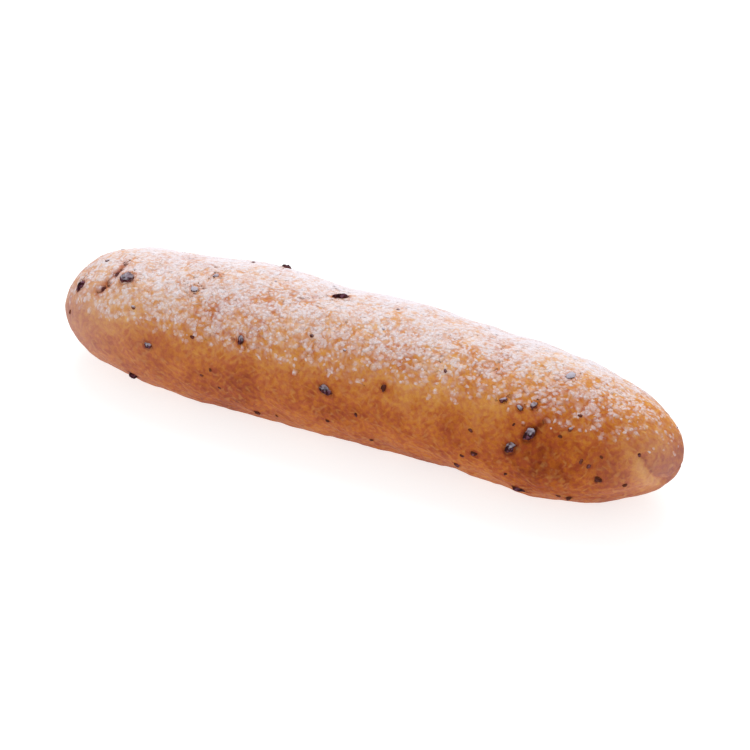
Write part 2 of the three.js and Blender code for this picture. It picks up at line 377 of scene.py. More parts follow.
CRUST_RINGS = 404
CRUST_SEEN, CRUST_UNDER = 222, 22  # points round the loaf that show, and points under it
BASE_FROM = 150  # degrees round, where the part that lies on the tray begins
PROFILE_STEPS = 6000


def crust_grid():
    """Along and around of the crust's points: rings equally spaced over the loaf's profile, and
    points round it that are close where it shows and wide apart on the tray."""
    s = -np.cos(np.linspace(0, np.pi, PROFILE_STEPS + 1))
    profile, _ = smooth_crust(s * LENGTH / 2, np.full(s.shape, 90.0))
    run = np.concatenate([[0], np.cumsum(np.linalg.norm(np.diff(profile, axis=0), axis=1))])
    ring_s = np.interp(np.linspace(0, run[-1], CRUST_RINGS + 2), run, s)[1:-1]
    seen = np.linspace(-BASE_FROM, BASE_FROM, CRUST_SEEN, endpoint=False)
    under = np.linspace(BASE_FROM, 360 - BASE_FROM, CRUST_UNDER, endpoint=False)
    around = np.concatenate([seen, under])
    around = np.where(around > 180, around - 360, around)
    tip = LENGTH / 2
    along, turn = np.meshgrid(ring_s * tip, around, indexing="ij")
    return (
        np.concatenate([[-tip], along.ravel(), [tip]]),
        np.concatenate([[0], turn.ravel(), [0]]),
        around.size,
    )


# How baked the crust is, from 0 to 1, and how much paler it is where it faces up.
MEAN_BAKE, PALER_ON_TOP, FACES_UP = 0.55, 0.28, (0, 0.9)
UNEVEN_BAKE = [(26, 0.14, 51), (9, 0.1, 53)]  # size, strength and seed
# Where it is baked darker or paler than its neighbours: along, around, reach and amount.
BAKED = [
    (95, 60, 21, 0.26),  # deep brown on the right
    (-60, 96, 30, 0.05),
    (-112, 95, 30, -0.1),
    (88, 20, 20, -0.1),
    (80, 120, 24, -0.06),
    (138, 50, 14, 0.12),  # red nose beyond the seam
]
# How much darker it is in the tear, in the crease, in the seam and round fruit, and how wide. In
# the seam's groove that darkening is painted shade, and in the crease it is painted shade with the
# crease's own reddish brown. The tear is broken by a noise: its mean and its size.
TEAR_BAKE, TEAR_WIDTH, TEAR_MEAN, TEAR_GRAIN = 0.45, 2.4, 0.9, 2.8
CREASE_SHADE, CREASE_WIDTH = 0.25, 1.3
SEAM_SHADE, SEAM_WIDTH = 0.16, 1.1
RING_BAKE, RING_AT, RING_WIDTH = 0.2, 1.1, 0.35
LIP_PALER, NOSE_DARKER = 0.33, 0.03  # beside the seam, before it and beyond it
SEAM_REACH, SEAM_STEP = 7, 0.8  # how far from the seam that fades, and over how far it changes
SEAM_BEGINS, SEAM_ENDS = (40, 66), (150, 120)  # around

# Where the crust is mixed further towards flour white, with an amount below 0 where it is mixed
# less: along, around, reach, amount.
VEILS = [
    (-136, 70, 34, 0.2),
    (138, 60, 22, 0.17),
    (118, -34, 24, -0.2),
]
DUST = ((-140, 0, 100), (0.035, 0.01, 0))  # the veil elsewhere: along, and amount
# Painted sheen on the far shoulder, a mix towards flour white that stands in for light from behind
# grazing it: its amount, the way the shoulder faces, and the share of the normal towards that from
# where it begins to where it is full.
FAR_SHEEN, FAR_SHOULDER, FAR_BEGINS = 0.42, np.array([0, 0.82, 0.57]), (0.6, 0.98)

SIFTED_FROM = np.array([0, 0.423, 0.906])  # from above and 25 degrees behind
# How the flour fell along the loaf: along, its share where the crust faces the sieve, and the power
# with which it fades where the crust turns away. The left half got it more evenly.
SIFTING = np.array(
    [(-100, 0.8, 0.95), (-40, 0.8, 1.05), (15, 0.82, 1.7), (70, 0.9, 2.9), (120, 0.58, 2.2)]
)
CLOUDS = [(34, 0.3, 41), (12, 0.45, 43), (6, 0.3, 45)]  # size, strength and seed
# Where flour thins out towards each end: the side, from and to along it, and how much.
THIN_ENDS = [(-1, 100, 138, 0.5), (1, 108, 134, 0.75)]
CLEAR_OF_FRUIT, CLEAR_WIDTH = 0.75, 0.3  # how much thinner flour is beside fruit, and how wide

# The flour's ridges follow the zero lines of a noise of this size, warped this much by one of that
# size. The last number is how wide a band of the noise they take up.
CLOT_SPACING, CLOT_WARP, CLOT_WARP_SIZE, RIDGE_BAND = 2.0, 1.2, 4, 0.3
CLUSTER_SIZE = 3.4
FULL_COVER, RIDGE_COVER, CLUSTER_COVER = 0.85, 0.4, 0.35
LEAST_SHARE = 0.1  # flour that hides less of the crust than this fades out


def clot_noise(points):
    """The warped noise whose zero lines the flour lies along."""
    return noise(warped(points, CLOT_WARP_SIZE, CLOT_WARP, 13), CLOT_SPACING, 17)


def cluster_noise(points):
    """The noise on whose highs the flour gathers in clusters."""
    return noise(points, CLUSTER_SIZE, 47)


def flour_share(point, normal, away):
    """The share of the crust that flour hides: SIFTING's share, times the normal's share towards
    the sieve to SIFTING's power. It lies in clouds, and is thinner on the ends and beside fruit."""
    x = point[..., 0]
    amount, power = (np.interp(x, SIFTING[:, 0], column) for column in SIFTING.T[1:])
    share = amount * np.clip(normal @ SIFTED_FROM, 0, 1) ** power
    share *= 1 + layered(point, CLOUDS)
    for side, start, end, thinner in THIN_ENDS:
        share *= 1 - thinner * rise(side * x, start, end)
    return share * (1 - CLEAR_OF_FRUIT * bell(away - RING_AT, CLEAR_WIDTH))


def seam_bake_and_shade(point, along, around):
    """How baked the crust is on both sides of the seam: a pale lip before it and a browner nose
    beyond it, with a step between them, and a brown line of painted shade in the seam's groove."""
    seam_along, seam_around = np.transpose(SEAM)
    beyond = along - np.interp(around, seam_around, seam_along)
    near = bell(beyond, SEAM_REACH) * rise(around, *SEAM_BEGINS) * rise(around, *SEAM_ENDS)
    step = (LIP_PALER + NOSE_DARKER) * rise(beyond, -SEAM_STEP, SEAM_STEP) - LIP_PALER
    return near * step + SEAM_SHADE * bell(from_path(point, SEAM), SEAM_WIDTH)


def finish_of(point, normal, along, around, away):
    """What the crust's material reads at each point: how baked it is, with shade painted into the
    seam and the crease, the share that flour hides, and how much the finest dust and a sheen
    painted on the far shoulder mix it towards flour white."""
    tear = bell(from_path(point, TEAR), TEAR_WIDTH)
    tear *= np.clip(TEAR_MEAN + noise(point, TEAR_GRAIN, 55), 0, 1)
    bake_and_shade = MEAN_BAKE + bells(point, BAKED) + layered(point, UNEVEN_BAKE)
    bake_and_shade -= PALER_ON_TOP * rise(normal[..., 2], *FACES_UP)
    # The seam's pale lip and browner nose, and painted shade in its groove.
    bake_and_shade += TEAR_BAKE * tear + seam_bake_and_shade(point, along, around)
    # The crease: painted shade in its groove, with its own reddish brown.
    bake_and_shade += CREASE_SHADE * bell(from_path(point, CREASE), CREASE_WIDTH)
    bake_and_shade += RING_BAKE * bell(away - RING_AT, RING_WIDTH)
    share = flour_share(point, normal, away)
    ridge = bell(clot_noise(point), RIDGE_BAND) - 0.5
    flour = share + RIDGE_COVER * ridge + CLUSTER_COVER * cluster_noise(point)
    cover = FULL_COVER * rise(flour, 0, 1) * rise(share, 0, LEAST_SHARE) * (1 - tear)
    dust_and_sheen = np.interp(along, *DUST) + bells(point, VEILS)
    # Painted sheen: the far shoulder mixed towards flour white where light from behind grazes it.
    dust_and_sheen += FAR_SHEEN * rise(normal @ FAR_SHOULDER, *FAR_BEGINS)
    return dict(bake_and_shade=bake_and_shade, cover=cover, dust_and_sheen=dust_and_sheen * (1 - tear))


def make_crust():
    """The crust over its whole grid, closed at both tips, with its attributes."""
    along, around, round_ = crust_grid()
    point, normal, away = crust(along, around)
    finish = finish_of(point, normal, along, around, away)
    quads, fans = closed_faces(CRUST_RINGS, round_)
    faces = quads.tolist() + fans.tolist()
    piece = mesh_piece("crust", point, faces, baked_crust(), finish)
    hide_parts("loaf")
    return along, around


# ---------------------------------------------------------------- flour

CLOTS, CLOT_ROUND = 17000, 5
# A clot's crown, rim and underside: how far out each is as a share of the clot's reach, how high
# above the crust in millimetres, and how thick the flour is there as a share of the crown's. Where
# it is below 0 nothing but crust shows.
CLOT_OUT = np.repeat([0, 1, 0], (1, CLOT_ROUND, 1))
CLOT_HEIGHT = np.repeat([0.1, -0.14, -0.4], (1, CLOT_ROUND, 1))
CLOT_THICK = np.repeat([1, -0.9, -0.9], (1, CLOT_ROUND, 1))

# How clots crowd: the power of the flour's share, the cluster noise from gap to cluster, and the
# least weight in a gap and anywhere.
CROWDING, CLUSTERED, IN_GAPS, ANYWHERE = 1.3, (-0.2, 0.5), 0.1, 1e-7
# How a clot is brought to its line: steps, the least slope that one divides by, its length, and how
# far to each side the slope is measured.
LINE_STEPS, LEAST_SLOPE, LONGEST_STEP, SLOPE_REACH = 3, 0.3, 0.5, 0.1
# Flour is sparse where its share is below the second number, and quite sparse below the first.
SPARSE = (0.15, 0.6)
# A clot's reach across its line: the gamma law's shape and scale, its limits, and how much further
# it reaches where flour is sparse.
REACH_SHAPE, REACH_SCALE, REACH_LIMITS, WIDER = 7.0, 0.23, (0.8, 2.3), 0.5
# Its reach along the line: how many times that, its limit, and the limit's rise in sparse flour.
DRAWN_ALONG, LONGEST, LONGER = (1, 1.7), 2.7, 0.8
UNEVEN_RIM = (0.6, 1.4)
# How thick the flour on its crown is: mean, spread, loss in sparse flour, and limits.
THICK_MEAN, THICK_SPREAD, THINNER, THICK_LIMITS = 0.72, 0.2, 0.2, (0.25, 1.1)


def surface_slope(field, points, normal):
    """A field's slope within the surface: central differences along X, Y and Z, less what they
    have along the normal."""
    steps = SLOPE_REACH * np.eye(3)
    slope = np.stack([field(points + step) - field(points - step) for step in steps], axis=-1)
    slope /= 2 * SLOPE_REACH
    return slope - np.sum(slope * normal, axis=-1, keepdims=True) * normal


def clot_places(along, around):
    """Where the clots lie: places of the crust's grid, chosen by weight, and then brought to the
    nearest zero line of the clot noise by Newton steps. Gives the smooth loaf's points there, the
    directions along and across the line, and how sparse the flour is, from 0 to 1."""
    smooth, normal = smooth_crust(along, around)
    share = np.maximum(flour_share(smooth, normal, from_fruit(smooth)), 0)
    weight = share**CROWDING * (IN_GAPS + rise(cluster_noise(smooth), *CLUSTERED)) + ANYWHERE
    weight *= np.sqrt(np.maximum(0, 1 - normal[:, 0] ** 2))
    weight *= 1 - bell(from_path(smooth, TEAR), TEAR_WIDTH)
    chosen = draws.choice(along.size, CLOTS, replace=False, p=weight / weight.sum())
    point, normal = smooth_crust(along[chosen], around[chosen])
    for _ in range(LINE_STEPS):
        slope = surface_slope(clot_noise, point, normal)
        steep = np.maximum(np.linalg.norm(slope, axis=-1, keepdims=True), LEAST_SLOPE)
        step = clot_noise(point)[:, None] * slope / steep**2
        step = np.clip(step, -LONGEST_STEP, LONGEST_STEP)
        point, normal = smooth_crust(*onto_crust(point - step))
    ahead = np.cross(normal, surface_slope(clot_noise, point, normal))
    ahead /= np.maximum(np.linalg.norm(ahead, axis=-1, keepdims=True), 1e-6)
    return point, ahead, np.cross(ahead, normal), 1 - rise(share[chosen], *SPARSE)


def make_flour(along, around):
    """Clots of flour, closest together where flour hides the largest share of the crust, thinner
    and wider where it hides little, and joined into ridges along the zero lines of the clot noise.
    Each is a low uneven mound, drawn out along its line, which thins out evenly towards its rim
    until it has the finish of the crust there. Its underside is flat shaded, so that its rim is
    shaded as its top is."""
    point, ahead, across, sparse = clot_places(along, around)
    reach = np.clip(draws.gamma(REACH_SHAPE, REACH_SCALE, CLOTS), *REACH_LIMITS)
    reach *= 1 + WIDER * sparse
    long = np.minimum(reach * draws.uniform(*DRAWN_ALONG, CLOTS), LONGEST + LONGER * sparse)
    turn = np.concatenate([[0], np.arange(CLOT_ROUND) * 2 * np.pi / CLOT_ROUND, [0]])
    out = CLOT_OUT * draws.uniform(*UNEVEN_RIM, (CLOTS, turn.size))
    off = (out * np.cos(turn) * long[:, None])[..., None] * ahead[:, None]
    off += (out * np.sin(turn) * reach[:, None])[..., None] * across[:, None]
    spots = [place.ravel() for place in onto_crust(point[:, None] + off)]
    points, outward, away = crust(*spots)
    finish = finish_of(points, outward, *spots, away)
    points = points + np.tile(CLOT_HEIGHT, CLOTS)[:, None] * outward
    thick = THICK_MEAN + THICK_SPREAD * draws.normal(size=CLOTS) - THINNER * sparse
    finish["thick"] = np.outer(np.clip(thick, *THICK_LIMITS), CLOT_THICK).ravel()
    faces = repeated(closed_faces(1, CLOT_ROUND), CLOTS, turn.size)
    piece = mesh_piece("flour", points, faces, sifted_flour(), finish)
    top = np.repeat([True, False], CLOT_ROUND)
    piece.data.polygons.foreach_set("use_smooth", np.tile(top, CLOTS))


# ---------------------------------------------------------------- fruit

FRUIT_RINGS, FRUIT_ROUND, FRUIT_DENTS = 15, 20, 0.3
CRUMB_RINGS, CRUMB_ROUND, CRUMB_DENTS = 5, 8, 0.25
OWN_NOISE = 9.7  # how far apart the fruits lie in the noise, so that each has its own
# Sizes of the folds, the hollows and the patches of flour, if the fruit's half size is 1, and how
# much deeper hollows are than folds.
FOLD_SIZE, HOLLOW_SIZE, FLOUR_PATCH, HOLLOWER = 0.5, 1.1, 0.45, 1.3
# How much those patches count, and how far up a face looks from where flour begins to where it is
# full.
FLOUR_PATCHY, FLOUR_SETTLES = 0.5, (-0.1, 0.8)
SKIN_CLIMBS = (0.12, 0.5)  # how high up the fruit the crust's skin reaches, and where it ends
SCRAP_SKIN, CRUMB_SKIN = 0.3, (0.2, 0.8)
CRUMB_FLOUR, CRUMB_FLOUR_AROUND = (0.3, 1), 50  # how floured, and how far round from the top


def wrinkled_fruit(rows, skin, rings, round_, dents):
    """Dried fruits: spheres drawn out to each row's length, breadth and thickness, shrivelled by
    ridged noise, turned on the crust and sunk until STANDS_OUT of their thickness shows. Flour lies
    where they face up, as much as the row says. A skin of crust lies over their rims, and over all
    of them as much as `skin` says."""
    lat = np.linspace(np.pi, 0, rings + 2)
    lon = np.linspace(0, 2 * np.pi, round_, endpoint=False)
    ring = np.stack(
        [
            np.repeat(np.cos(lat[1:-1]), round_),
            np.outer(np.sin(lat[1:-1]), np.cos(lon)).ravel(),
            np.outer(np.sin(lat[1:-1]), np.sin(lon)).ravel(),
        ],
        axis=-1,
    )
    sphere = np.vstack([[-1, 0, 0], ring, [1, 0, 0]])
    count = len(rows)
    own = sphere[None] + OWN_NOISE * np.arange(count)[:, None, None]
    shape = 1 - dents * np.abs(noise(own, FOLD_SIZE, 61))
    shape += HOLLOWER * dents * noise(own, HOLLOW_SIZE, 63)
    solid = sphere[None] * shape[..., None] * rows[:, None, 2:5] / 2
    placed, _, _ = crust(rows[:, 0], rows[:, 1])
    _, heading, across, normal = fruit_frames(rows)
    centre = placed + normal * rows[:, 4:5] * (STANDS_OUT - 0.5)
    basis = np.stack([heading, across, normal], axis=1)
    outward = sphere @ basis
    points = centre[:, None] + solid @ basis
    faces_up = outward[..., 2] + FLOUR_PATCHY * noise(own, FLOUR_PATCH, 65)
    floured = rows[:, 6:7] * rise(faces_up, *FLOUR_SETTLES)
    lifted = np.einsum("kij,kj->ki", outward, normal)
    skinned = np.clip(1 - rise(lifted, *SKIN_CLIMBS) + skin[:, None], 0, 1)
    faces = repeated(closed_faces(rings, round_), count, len(sphere))
    return points.reshape(-1, 3), faces, dict(floured=floured.ravel(), skinned=skinned.ravel())


def make_fruit():
    """The currants and scraps in one piece, and their crumbs, flattened specks, in another."""
    material = dried_currant()
    skin = np.where(FRUIT[:, 2] > SCRAP_SIZE[0], 0, SCRAP_SKIN)
    points, faces, attributes = wrinkled_fruit(FRUIT, skin, FRUIT_RINGS, FRUIT_ROUND, FRUIT_DENTS)
    mesh_piece("currants", points, faces, material, attributes)
    ranges = (FAR_CRUMBS_ALONG, FAR_CRUMBS_AROUND)
    far = np.column_stack([draws.uniform(*ends, FAR_CRUMBS) for ends in ranges])
    spots = np.vstack([CRUMBS, far])
    count = len(spots)
    sizes = draws.uniform(*CRUMB_SPREAD, (count, 1)) * CRUMB_SIZE
    turns = draws.uniform(0, 180, count)
    floured = draws.uniform(*CRUMB_FLOUR, count) * (np.abs(spots[:, 1]) < CRUMB_FLOUR_AROUND)
    rows = np.column_stack([spots, sizes, turns, floured])
    skin = draws.uniform(*CRUMB_SKIN, count)
    points, faces, attributes = wrinkled_fruit(rows, skin, CRUMB_RINGS, CRUMB_ROUND, CRUMB_DENTS)
    mesh_piece("currant_crumbs", points, faces, material, attributes)


# ---------------------------------------------------------------- materials


def linear(hex_colour):
    """An sRGB hex colour as linear red, green, blue and alpha."""
    shares = np.array([(hex_colour >> shift & 255) / 255 for shift in (16, 8, 0)])
    low, high = shares / 12.92, ((shares + 0.055) / 1.055) ** 2.4
    return (*np.where(shares <= 0.04045, low, high), 1.0)


def node(tree, kind, inputs=None, **settings):
    """Adds a node. Settings are its properties; inputs are its sockets by name or number, each a
    value, or another node's output to link."""
    made = tree.nodes.new(kind)
    for key, value in settings.items():
        setattr(made, key, value)
    for key, value in (inputs or {}).items():
        if isinstance(value, bpy.types.NodeSocket):
            tree.links.new(value, made.inputs[key])
        else:
            made.inputs[key].default_value = value
    return made


def new_material(name):
    """A material with an empty tree, and that tree."""
    material = bpy.data.materials.new(name)
    material.use_nodes = True
    material.node_tree.nodes.clear()
    return material, material.node_tree


def set_ramp(ramp, stops):
    """Gives a colour ramp its stops: position and hex colour."""
    elements = ramp.color_ramp.elements
    while len(elements) < len(stops):
        elements.new(0.5)
    for element, (position, colour) in zip(elements, stops):
        element.position = position
        element.color = linear(colour)


FLOUR_WHITE, FLOURED_CURRANT, GOLD, CRUST_ON_CURRANT = 0xE2DADF, 0xD0CAD8, 0xD8A05C, 0x7E4222
# The crust's two browns from pale to burnt, and the currants' skin from its valleys to its folds,
# whose pale violet grey on the highest folds is painted highlight.
AMBER = [
    (0.0, 0xE6B878), (0.25, 0xD29044), (0.45, 0xBE6E28),
    (0.62, 0xA8561A), (0.82, 0x883E10), (1.0, 0x541E0A),
]
RED = [
    (0.0, 0xE0A870), (0.25, 0xC88048), (0.45, 0xB25C2E),
    (0.62, 0x9A4422), (0.82, 0x7A3014), (1.0, 0x4E180C),
]
CURRANT_SKIN_AND_HIGHLIGHTS = [(0.36, 0x2A1014), (0.52, 0x421A20), (0.7, 0x70485A)]
# Noises of the crust, each a scale per metre and a detail: patches 9 mm across, blotches 3 mm,
# clots of flour 2.3 mm, mottles 2 mm, and grains 0.45 mm.
PATCH, BLOTCH, CLOT = (110.0, 2.0), (330.0, 3.0), (430.0, 2.0)
MOTTLE, GRAIN = (520.0, 1.5), (2200.0, 1.0)
# Cells of the fine wrinkles' noise in metres, the ways it is turned, which make them fall or climb
# to the right, and how much of the noise on each side of its middle they take up.
WRINKLE_CELL, WRINKLE_TURNS, FINE_BAND = (0.007, 0.0036, 0.0036), (0.45, -0.95), 0.22
# The patch noise from where the falling wrinkles begin to where they are full, and so the climbing.
FALLS, CLIMBS = (0.4, 0.56), (0.6, 0.44)
# How much blotches, grain and wrinkles brown the crust, and how much that is in the mean.
BLOTCH_BROWN, GRAIN_BROWN, WRINKLE_BROWN, MEAN_BROWN = 0.36, 0.15, -0.06, 0.22
REDDENS = (0.34, 0.64)  # the mottle noise from amber to red
# Gold on wrinkles: the crests that it lies on, the blotch noise that breaks it up, and its largest
# share.
CREST, BROKEN, GILT = (0.6, 1.0), (0.42, 0.66), 0.27
# Flour on the crust: how much grain counts beside clots, and how that noise thins and thickens it.
GRAINY, HEAP, HEAPED = 0.5, (0.5, 1.0), (0.35, 1.25)
# Roughness: of bare and floured crust, with how powdery it is when that is reached, and so of the
# currants, and of flour.
CRUST_ROUGH, CRUST_FLOURED = (0.5, 0.95), 0.6
CURRANT_ROUGH, CURRANT_FLOURED, FLOUR_ROUGH = (0.48, 0.95), 0.4, 0.9
# Grains of loose flour: scale and detail, and how that noise thins and thickens a clot.
LOOSE_GRAIN, LOOSE, LOOSENED = (1500.0, 1.5), (0.3, 0.7), (0.5, 1.3)
# Noises of the currants: the scales of folds and of flour's crumbs, and their detail.
FOLDS, CRUMBLY, CURRANT_DETAIL = 700.0, 600.0, 1.5
# Flour on currants: how much crumbs count, from where it begins to where it is full, and its
# largest share. The last is the share of the crust's skin where it lies over them.
CRUMBLED, CAKES, CAKED, SKINNED = 0.7, (0.58, 1.08), 0.75, 0.8
# Heights in metres, of flour, wrinkles, the blisters in the blotches, grain, and currants' folds.
FLOUR_BUMP, WRINKLE_BUMP, BLISTER_BUMP, GRAIN_BUMP = 0.0001, 0.00015, 0.0004, 0.00008
FOLD_BUMP = 0.0004
# The refraction of crust, flour and currants, and their low specular levels.
REFRACTION, CRUST_SHINE, CURRANT_SHINE = 1.45, 0.08, 0.06


def dusted_crust(tree):
    """The nodes that crust and flour share: a thin wheat skin, brown with amber and red mottles and
    gold on some wrinkles, with painted shade in the seam and the crease, under a dusting of flour
    and a painted sheen on the far shoulder. Gives its colour, how powdery it is with that sheen
    counted in, and its height in metres."""
    place = node(tree, "ShaderNodeTexCoord").outputs["Object"]
    bake_and_shade, cover, dust_and_sheen = (
        node(tree, "ShaderNodeAttribute", attribute_name=name).outputs["Fac"]
        for name in ("bake_and_shade", "cover", "dust_and_sheen")
    )

    patch, blotch, clot, mottle, grain = (
        node(
            tree, "ShaderNodeTexNoise", {"Vector": place, "Scale": scale, "Detail": detail}
        ).outputs["Fac"]
        for scale, detail in (PATCH, BLOTCH, CLOT, MOTTLE, GRAIN)
    )

    # Soft wrinkles, which are lines where a drawn out noise is near its middle.
    lines = []
    for turn in WRINKLE_TURNS:
        drawn_out = node(
            tree,
            "ShaderNodeMapping",
            {"Vector": place, "Rotation": (0.0, turn, 0.0), "Scale": WRINKLE_CELL},
            vector_type="TEXTURE",
        ).outputs[0]
        crease = node(
            tree,
            "ShaderNodeTexNoise",
            {"Vector": drawn_out, "Scale": 1.0, "Detail": 1.0, "Distortion": 0.3},
        ).outputs["Fac"]
        off_line = node(
            tree, "ShaderNodeMath", {0: crease, 1: 0.5}, operation="SUBTRACT"
        ).outputs[0]
        off_line = node(tree, "ShaderNodeMath", {0: off_line}, operation="ABSOLUTE").outputs[0]
        lines.append(
            node(
                tree,
                "ShaderNodeMapRange",
                {0: off_line, 1: 0.0, 2: FINE_BAND, 3: 1.0, 4: 0.0},
                interpolation_type="SMOOTHSTEP",
            ).outputs[0]
        )

    # They fall in some patches and climb in the others.
    shown = []
    for line, (low, high) in zip(lines, (FALLS, CLIMBS)):
        here = node(
            tree,
            "ShaderNodeMapRange",
            {0: patch, 1: low, 2: high, 3: 0.0, 4: 1.0},
            interpolation_type="SMOOTHSTEP",
        ).outputs[0]
        shown.append(
            node(tree, "ShaderNodeMath", {0: line, 1: here}, operation="MULTIPLY").outputs[0]
        )
    wrinkle = node(
        tree, "ShaderNodeMath", {0: shown[0], 1: shown[1]}, operation="MAXIMUM"
    ).outputs[0]

    # Browning: the broad baking, with the shade painted into the seam and the crease, blotches and
    # grain darken the skin, which is amber or, in mottles, red.
    browned_and_shaded = bake_and_shade
    for share, amount in ((blotch, BLOTCH_BROWN), (grain, GRAIN_BROWN), (wrinkle, WRINKLE_BROWN)):
        browned_and_shaded = node(
            tree, "ShaderNodeMath", {0: share, 1: amount, 2: browned_and_shaded}, operation="MULTIPLY_ADD"
        ).outputs[0]
    browned_and_shaded = node(
        tree, "ShaderNodeMath", {0: browned_and_shaded, 1: MEAN_BROWN}, operation="SUBTRACT"
    ).outputs[0]
    amber, red = (node(tree, "ShaderNodeValToRGB", {0: browned_and_shaded}) for _ in range(2))
    set_ramp(amber, AMBER)
    set_ramp(red, RED)
    redder = node(
        tree,
        "ShaderNodeMapRange",
        {0: mottle, 1: REDDENS[0], 2: REDDENS[1], 3: 0.0, 4: 1.0},
        interpolation_type="SMOOTHSTEP",
    ).outputs[0]
    skin = node(
        tree,
        "ShaderNodeMix",
        {"Factor": redder, 6: amber.outputs["Color"], 7: red.outputs["Color"]},
        data_type="RGBA",
    ).outputs[2]

    # The crests of some wrinkles are gold.
    crest = node(
        tree, "ShaderNodeMapRange", {0: wrinkle, 1: CREST[0], 2: CREST[1], 3: 0.0, 4: 1.0}
    ).outputs[0]
    broken = node(
        tree,
        "ShaderNodeMapRange",
        {0: blotch, 1: BROKEN[0], 2: BROKEN[1], 3: 0.0, 4: GILT},
        interpolation_type="SMOOTHSTEP",
    ).outputs[0]
    gilt = node(
        tree, "ShaderNodeMath", {0: crest, 1: broken}, operation="MULTIPLY"
    ).outputs[0]
    # The skin with gold on its crests, and the painted shade of the seam and the crease in it.
    baked = node(
        tree,
        "ShaderNodeMix",
        {"Factor": gilt, 6: skin, 7: linear(GOLD)},
        data_type="RGBA",
    ).outputs[2]

    # Flour, thicker and thinner in clots and grains, and the haze of dust over all, which carries
    # the sheen painted on the far shoulder.
    heap = node(
        tree, "ShaderNodeMath", {0: grain, 1: GRAINY, 2: clot}, operation="MULTIPLY_ADD"
    ).outputs[0]
    level = node(
        tree,
        "ShaderNodeMapRange",
        {0: heap, 1: HEAP[0], 2: HEAP[1], 3: HEAPED[0], 4: HEAPED[1]},
    ).outputs[0]
    flour = node(tree, "ShaderNodeMath", {0: cover, 1: level}, operation="MULTIPLY").outputs[0]
    powder_and_sheen = node(
        tree, "ShaderNodeMath", {0: flour, 1: dust_and_sheen}, operation="ADD", use_clamp=True
    ).outputs[0]
    colour = node(
        tree,
        "ShaderNodeMix",
        {"Factor": powder_and_sheen, 6: baked, 7: linear(FLOUR_WHITE)},
        data_type="RGBA",
    ).outputs[2]

    height = node(
        tree, "ShaderNodeMath", {0: flour, 1: FLOUR_BUMP}, operation="MULTIPLY"
    ).outputs[0]
    for share, amount in ((wrinkle, WRINKLE_BUMP), (blotch, BLISTER_BUMP), (grain, GRAIN_BUMP)):
        height = node(
            tree, "ShaderNodeMath", {0: share, 1: amount, 2: height}, operation="MULTIPLY_ADD"
        ).outputs[0]
    return colour, powder_and_sheen, height


def baked_crust():
    """Baked wheat crust: a matte brown skin with hardly a shine, duller still under its flour."""
    material, tree = new_material("baked_wheat_crust")
    colour, powder_and_sheen, height = dusted_crust(tree)
    rough = node(
        tree,
        "ShaderNodeMapRange",
        {0: powder_and_sheen, 1: 0.0, 2: CRUST_FLOURED, 3: CRUST_ROUGH[0], 4: CRUST_ROUGH[1]},
    ).outputs[0]
    bump = node(
        tree, "ShaderNodeBump", {"Strength": 1.0, "Distance": 1.0, "Height": height}
    ).outputs["Normal"]
    shader = node(
        tree,
        "ShaderNodeBsdfPrincipled",
        {
            "Base Color": colour,
            "Roughness": rough,
            "Normal": bump,
            "IOR": REFRACTION,
            "Specular IOR Level": CRUST_SHINE,
        },
    ).outputs[0]
    node(tree, "ShaderNodeOutputMaterial", {"Surface": shader})
    return material


def sifted_flour():
    """Wheat flour in low clots: white with a violet cast, quite matte, and where it lies thin the
    crust shows through it."""
    material, tree = new_material("sifted_wheat_flour")
    colour, _, height = dusted_crust(tree)
    place = node(tree, "ShaderNodeTexCoord").outputs["Object"]
    thick = node(tree, "ShaderNodeAttribute", attribute_name="thick").outputs["Fac"]
    scale, detail = LOOSE_GRAIN
    grain = node(
        tree, "ShaderNodeTexNoise", {"Vector": place, "Scale": scale, "Detail": detail}
    ).outputs["Fac"]
    loose = node(
        tree,
        "ShaderNodeMapRange",
        {0: grain, 1: LOOSE[0], 2: LOOSE[1], 3: LOOSENED[0], 4: LOOSENED[1]},
    ).outputs[0]
    heap = node(
        tree, "ShaderNodeMath", {0: thick, 1: loose}, operation="MULTIPLY", use_clamp=True
    ).outputs[0]
    colour = node(
        tree,
        "ShaderNodeMix",
        {"Factor": heap, 6: colour, 7: linear(FLOUR_WHITE)},
        data_type="RGBA",
    ).outputs[2]
    bump = node(
        tree, "ShaderNodeBump", {"Strength": 1.0, "Distance": 1.0, "Height": height}
    ).outputs["Normal"]
    shader = node(
        tree,
        "ShaderNodeBsdfPrincipled",
        {
            "Base Color": colour,
            "Roughness": FLOUR_ROUGH,
            "Normal": bump,
            "IOR": REFRACTION,
            "Specular IOR Level": CRUST_SHINE,
        },
    ).outputs[0]
    node(tree, "ShaderNodeOutputMaterial", {"Surface": shader})
    return material


